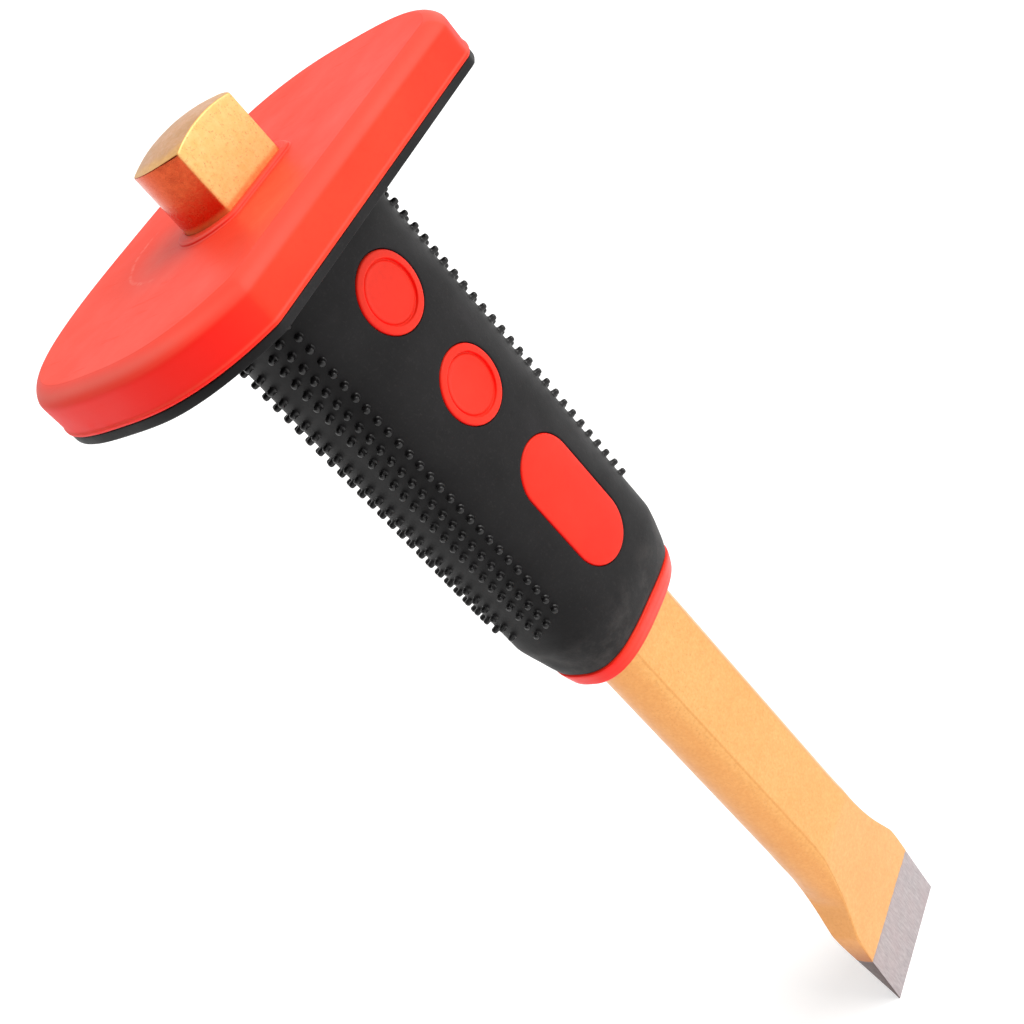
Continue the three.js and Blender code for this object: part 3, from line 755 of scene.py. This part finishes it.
def patch(x_half, z_lo, z_hi, loops_fn, grid, holes_off, z_cols, x_rows):
    """Triangles over |x| < x_half, z_lo..z_hi, with the pad windows left open. Returns [(x, z, depth)], faces, hole loops."""
    pts, depth, edges, polys = [], [], [], []
    def add(x, z, d=0.0):
        pts.append((x, z)); depth.append(d)
        return len(pts) - 1
    # outer boundary
    ring = []
    for x in x_rows:
        ring.append(add(x, z_lo))
    for z in z_cols[1:-1]:
        ring.append(add(x_half, z))
    for x in x_rows[::-1]:
        ring.append(add(x, z_hi))
    for z in z_cols[::-1][1:-1]:
        ring.append(add(-x_half, z))
    edges += [(ring[i], ring[(i + 1) % len(ring)]) for i in range(len(ring))]
    holes = []
    for spec in PADS.values():
        for j, (off, d) in enumerate(loops_fn):
            idx = [add(x, z, d) for x, z in pad_ring(spec, spec["r"] + off)]
            edges += [(idx[i], idx[(i + 1) % len(idx)]) for i in range(len(idx))]
            if j == 0:
                holes.append(idx)
    clear = max(o for o, _ in loops_fn) + 0.45
    for z in np.arange(z_lo + grid, z_hi - grid * 0.5, grid):
        for x in np.arange(-x_half + grid * 0.8, x_half - grid * 0.4, grid):
            ok = True
            for s in PADS.values():
                dz = max(abs(z - s["z"]) - s["h"], 0)
                if math.hypot(x, dz) < s["r"] + clear:
                    ok = False
                    break
            if ok:
                add(x, z)
    vv, _, ff, ov, _, _ = delaunay_2d_cdt([Vector(p) for p in pts], edges, [], 0, 1e-6)
    where = {}
    for k, orig in enumerate(ov):
        for o in orig:
            where[o] = k
    dd = [0.0] * len(vv)
    for k, orig in enumerate(ov):
        if orig:
            dd[k] = depth[orig[0]]
    keep = []
    for tri in ff:
        cx = sum(vv[i].x for i in tri) / len(tri)
        cz = sum(vv[i].y for i in tri) / len(tri)
        inside = False
        for s in PADS.values():
            dz = max(abs(cz - s["z"]) - s["h"], 0)
            if math.hypot(cx, dz) < s["r"] + holes_off - 0.01:
                inside = True
        if not inside:
            keep.append(tuple(tri))
    return [(p.x, p.y, dd[k]) for k, p in enumerate(vv)], keep, [[where[i] for i in h] for h in holes]


def build_cover():
    verts, faces = [], []
    z1 = CV_Z1 + 0.2
    zs = [CV_Z0 - 0.1, CV_Z0 + 0.1, CV_Z0 + 0.4, CV_Z0 + 0.9] + list(np.linspace(157.6, 171, 16)) + list(np.linspace(172.3, z1 - 0.3, 66)) + [z1]
    lip = lambda z: 0.28 * max(0, 1 - (z - zs[0]) / 0.5) ** 2     # lower edge is slightly rounded
    xs = np.linspace(-X_SEAM, X_SEAM, 25)
    loops = [(0.07, 0.55), (0.10, 0.30), (0.20, 0.12), (0.38, 0.03), (0.62, 0.0)]
    pp, ff, holes = patch(X_SEAM, zs[0], zs[-1], loops, 1.15, 0.07, zs, list(xs))
    # soft swell of the rubber between the windows, and none at the seams
    for side in (-1, 1):
        base = len(verts)
        for x, z, d in pp:
            a, b = grip_ab(z)
            # x stays put; the section narrows with z so y follows the local outline
            sx = x * a / GA
            y = b * (1 - min(abs(x) / GA, 1) ** POWER) ** (1 / POWER) - d
            l = lip(z)
            verts.append((-side * sx * (1 - l / 20), side * (y - l), z))
        faces += [tuple(base + i for i in t) for t in ff]
        for hole in holes:                                      # window walls
            inner = []
            for i in hole:
                x, z, d = pp[i]
                inner.append(len(verts))
                verts.append((-side * x, side * (CORE_T + 0.12), z))
            n = len(hole)
            faces += [(base + hole[i], base + hole[(i + 1) % n], inner[(i + 1) % n], inner[i]) for i in range(n)]
    # rounded sides, from seam to seam
    t_seam = math.acos((X_SEAM / GA) ** (POWER / 2))
    ts = []
    for k in range(49):
        u = -1 + 2 * k / 48
        ts.append(t_seam * math.copysign(abs(u) ** 0.9, u))
    for side in (1, -1):
        base = len(verts)
        for z in zs:
            a, b = grip_ab(z)
            l = lip(z)
            for t in ts:
                px, py = super_pt(t, a, b)
                k = 1 - l / math.hypot(px, py)
                verts.append((side * px * k, side * py * k if abs(t) < t_seam - 1e-9 else side * math.copysign(abs(py) - l, py), z))
        n = len(ts)
        for r in range(len(zs) - 1):
            for i in range(n - 1):
                faces.append((base + r * n + i, base + r * n + i + 1, base + (r + 1) * n + i + 1, base + (r + 1) * n + i))
    # ends: a flat ring of rubber from the outer skin to the core
    def outer_ring(z):
        a, b = grip_ab(z)
        l = lip(z)
        out = []
        for side in (1, -1):
            for t in ts:
                px, py = super_pt(t, a, b)
                k = 1 - l / math.hypot(px, py)
                out.append((side * px * k, side * py * k if abs(t) < t_seam - 1e-9 else side * math.copysign(abs(py) - l, py)))
            for x in (xs[::-1] if side > 0 else xs)[1:-1]:
                sx = x * a / GA
                y = b * (1 - min(abs(x) / GA, 1) ** POWER) ** (1 / POWER)
                out.append((sx * (1 - l / 20), side * (y - l)))
        return out
    core = flat_oval(CORE_F + 0.1, CORE_W + 0.15, CORE_T + 0.12, 0.6, 20, 24, 5)
    ends = []
    for z in (zs[0], zs[-1]):
        o = outer_ring(z)
        pts = [Vector(p) for p in o] + [Vector(p) for p in core]
        no, nc = len(o), len(core)
        e = [(i, (i + 1) % no) for i in range(no)] + [(no + i, no + (i + 1) % nc) for i in range(nc)]
        vv, _, tri, ov, _, _ = delaunay_2d_cdt(pts, e, [], 0, 1e-6)
        base = len(verts)
        verts += [(p.x, p.y, z) for p in vv]
        for t in tri:
            cx, cy = sum(vv[i].x for i in t) / 3, sum(vv[i].y for i in t) / 3
            if abs(cy) < CORE_T + 0.12 and abs(cx) < CORE_W + 0.15:
                # inside the core outline?
                s = CORE_W - CORE_F
                r = (s * s + CORE_T ** 2) / (2 * s)
                if abs(cx) < CORE_F or math.hypot(abs(cx) - (CORE_W - r), cy) < r + 0.1:
                    continue
            faces.append(tuple(base + i for i in t))
    # inner skin, with the windows left open on both flats
    zin = list(np.linspace(zs[0], zs[-1], 40))
    fx = CORE_F + 0.1 - 0.6
    xr = list(-fx * np.linspace(-1, 1, 21))[::-1]
    pp2, ff2, _ = patch(fx, zin[0], zin[-1], [(0.07, 0.0)], 3.0, 0.07, zin, xr)
    for side in (-1, 1):
        base = len(verts)
        verts += [(-side * x, side * (CORE_T + 0.12), z) for x, z, _ in pp2]
        faces += [tuple(base + i for i in reversed(t)) for t in ff2]
    n_c = len(core)
    side_idx = [i for i in range(n_c)]
    seg = []
    for i in range(n_c):
        j = (i + 1) % n_c
        if abs(abs(core[i][1]) - (CORE_T + 0.12)) < 1e-6 and abs(abs(core[j][1]) - (CORE_T + 0.12)) < 1e-6 and abs(core[i][0] - core[j][0]) > 1e-6 and core[i][1] * core[j][1] > 0:
            continue
        seg.append((i, j))
    base = len(verts)
    for z in zin:
        verts += [(p[0], p[1], z) for p in core]
    for r in range(len(zin) - 1):
        for i, j in seg:
            faces.append((base + r * n_c + i, base + (r + 1) * n_c + i, base + (r + 1) * n_c + j, base + r * n_c + j))
    ob = make("grip_cover_rubber", dip(verts), faces, [black], 42)
    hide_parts("grip_cover")
    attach(ob, "hand_guard")
    return ob


# ------------------------------------------------------------------ nubs
def build_nubs():
    """Three staggered rows of small round pegs on each corner of the grip."""
    pitch = 3.29
    rows = []
    for k, (t_y, z0, n) in enumerate(((10.7, 176.9, 27), (7.6, 174.7, 27), (3.9, 172.7, 28))):
        rows.append((t_y, z0, n))
    verts, faces = [], []
    seg = 12
    prof = [(1.10, -0.5), (0.98, -0.02), (0.83, 0.10), (0.76, 0.28), (0.73, 0.88), (0.68, 1.12), (0.56, 1.29), (0.36, 1.40), (0.14, 1.44)]
    for sx in (-1, 1):
        for sy in (-1, 1):
            for t_y, z0, n in rows:
                x = GA * (1 - (t_y / GB) ** POWER) ** (1 / POWER)
                gx = x ** (POWER - 1) / GA ** POWER
                gy = t_y ** (POWER - 1) / GB ** POWER
                l = math.hypot(gx, gy)
                nv = Vector((sx * gx / l, sy * gy / l, 0))
                u = Vector((0, 0, 1))
                w = nv.cross(u)
                for i in range(n):
                    z = z0 + i * pitch
                    if z > CV_Z1 - 6:
                        continue
                    a, b = grip_ab(z)
                    s = 1 + random.uniform(-0.03, 0.03)
                    c = Vector((sx * x * a / GA, sy * t_y * b / GB, z + random.uniform(-0.05, 0.05)))
                    lean = random.uniform(-0.05, 0.05)
                    base = len(verts)
                    for r, h in prof:
                        for q in range(seg):
                            an = 2 * pi * q / seg
                            p = c + (u * math.cos(an) + w * math.sin(an)) * r * s + nv * h * s + u * lean * max(h, 0)
                            verts.append(tuple(p))
                    for k in range(len(prof) - 1):
                        for q in range(seg):
                            q2 = (q + 1) % seg
                            faces.append((base + k * seg + q, base + k * seg + q2, base + (k + 1) * seg + q2, base + (k + 1) * seg + q))
                    top = len(verts)
                    verts.append(tuple(c + nv * 1.455 * s + u * lean * 1.45))
                    bot = len(verts)
                    verts.append(tuple(c - nv * 0.5 * s))
                    for q in range(seg):
                        q2 = (q + 1) % seg
                        faces.append((base + (len(prof) - 1) * seg + q, base + (len(prof) - 1) * seg + q2, top))
                        faces.append((base + q2, base + q, bot))
    ob = make("grip_nubs", verts, faces, [black_nub], 50)
    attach(ob, "hand_guard")


# ------------------------------------------------------------------ nose collar
def build_nose():
    def ring(z, shrink=0.0):
        a, b = nose_ab(z)
        return level(polar(np.array([super_pt(t, a - shrink, b - shrink) for t in np.linspace(-pi, pi, 721)[:-1]]), THETA), z)
    z_top = CV_Z0 - 0.12
    rings = [core_ring(0.15, z_top)]
    rings.append(ring(z_top, 0.55))
    for k in range(1, 7):
        t = k / 6 * pi / 2
        rings.append(ring(z_top - 0.55 * (1 - math.cos(t)), 0.55 * (1 - math.sin(t))))
    z_low = float(NOSE_Z[0])
    for z in np.linspace(z_top - 1.2, z_low + 1.0, 16):
        rings.append(ring(z))
    for k in range(1, 8):                                      # rounded lower edge, then a flat end face
        t = k / 7 * pi / 2
        rings.append(ring(z_low + 0.9 * (1 - math.sin(t)), 0.9 * (1 - math.cos(t))))
    rings.append(bar_ring(1.6, z_low + 0.02))
    rings.append(bar_ring(0.5, z_low + 0.05))
    rings.append(bar_ring(0.15, z_low + 0.3))
    rings.append(bar_ring(0.1, z_low + 0.6))
    rings.append(bar_ring(0.1, co_lo[2] - 0.1))
    rings.append(core_ring(0.15, co_lo[2] - 0.1))
    v, f = tube(rings, wrap=True)
    v = dip(v)
    ob = make("nose_collar_moulded", v, f, [red_nose], 42)
    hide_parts("nose_collar")
    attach(ob, "hand_guard")


build_bar()
build_shield()
build_backing()
for nm in PADS:
    build_pad(nm, -1)
    build_pad(nm, 1)
build_cover()
build_nubs()
build_nose()

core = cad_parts["grip_core"]
core.data.materials.clear()
core.data.materials.append(red_material("red_moulded_core", base=(206, 30, 18), lit=(220, 40, 26), rough=(0.4, 0.5), scale=2.0))


# ------------------------------------------------------------------ stage, light, camera
def stage():
    me = bpy.data.meshes.new("floor")
    s = 14.0
    me.from_pydata([(-s, -s, 0), (s, -s, 0), (s, s, 0), (-s, s, 0)], [], [(0, 1, 2, 3)])
    fl = bpy.data.objects.new("floor", me)
    bpy.context.scene.collection.objects.link(fl)
    m, nt, b = new_mat("studio_floor")
    b.inputs["Base Color"].default_value = (0.98, 0.98, 0.98, 1)
    b.inputs["Roughness"].default_value = 0.9
    b.inputs["Specular IOR Level"].default_value = 0.1
    b.inputs["Emission Color"].default_value = (1.0, 1.0, 1.0, 1)
    b.inputs["Emission Strength"].default_value = 0.24
    fl.data.materials.append(m)

    # studio: a large soft sky, dimmer on the -X side, white where the camera sees past the floor
    w = bpy.data.worlds.new("studio")
    bpy.context.scene.world = w
    w.use_nodes = True
    nt = w.node_tree
    nt.nodes.clear()
    out = nt.nodes.new("ShaderNodeOutputWorld")
    co = nt.nodes.new("ShaderNodeTexCoord").outputs["Generated"]
    dot = nt.nodes.new("ShaderNodeVectorMath")
    dot.operation = "DOT_PRODUCT"
    nt.links.new(co, dot.inputs[0])
    dot.inputs[1].default_value = Vector((0.90, -0.15, 0.35)).normalized()
    mr = nt.nodes.new("ShaderNodeMapRange")
    mr.interpolation_type = "SMOOTHSTEP"
    for k, val in zip(("From Min", "From Max", "To Min", "To Max"), (-0.85, 0.20, SKY_LOW, SKY_HIGH)):
        mr.inputs[k].default_value = val
    nt.links.new(dot.outputs["Value"], mr.inputs["Value"])
    lit = nt.nodes.new("ShaderNodeBackground")
    lit.inputs[0].default_value = (1.0, 1.0, 1.0, 1)
    nt.links.new(mr.outputs[0], lit.inputs[1])
    seen = nt.nodes.new("ShaderNodeBackground")
    seen.inputs[0].default_value = (1.0, 1.0, 1.0, 1)
    seen.inputs[1].default_value = 1.0
    path = nt.nodes.new("ShaderNodeLightPath").outputs["Is Camera Ray"]
    mx = nt.nodes.new("ShaderNodeMixShader")
    nt.links.new(path, mx.inputs[0])
    nt.links.new(lit.outputs[0], mx.inputs[1])
    nt.links.new(seen.outputs[0], mx.inputs[2])
    nt.links.new(mx.outputs[0], out.inputs[0])

    d = bpy.data.lights.new("key", "SUN")
    d.energy = KEY
    d.angle = math.radians(50)
    d.color = (1.0, 0.985, 0.96)
    o = bpy.data.objects.new("key", d)
    o.rotation_euler = Vector(KEY_FROM).to_track_quat("Z", "Y").to_euler()
    bpy.context.scene.collection.objects.link(o)


SKY_LOW, SKY_HIGH = 0.04, 0.86
KEY, KEY_FROM = 2.05, (0.40, -0.66, 0.64)
stage()

CAM_R = Matrix(((0.39914545, -0.69714329, -0.59554525), (-0.75032155, 0.12495864, -0.64915554), (0.52697295, 0.70595792, -0.47320496)))
CAM_C = Vector((-171.361, -226.130, 342.554)) * MM
cam_data = bpy.data.cameras.new("camera")
cam_data.sensor_width = 36
cam_data.lens = 1448.37 / 1024 * 36
cam_data.clip_start = 0.01
cam_data.clip_end = 100
cam = bpy.data.objects.new("camera", cam_data)
bpy.context.scene.collection.objects.link(cam)
rows = [CAM_R[0], -CAM_R[1], -CAM_R[2]]
rot = Matrix((rows[0], rows[1], rows[2])).transposed()
cam.matrix_world = Matrix.Translation(CAM_C) @ rot.to_4x4()
bpy.context.scene.camera = cam

vs = bpy.context.scene.view_settings
vs.view_transform = "Standard"
vs.look = "None"
vs.exposure = 0.0
vs.gamma = 1.0

bpy.context.view_layer.update()
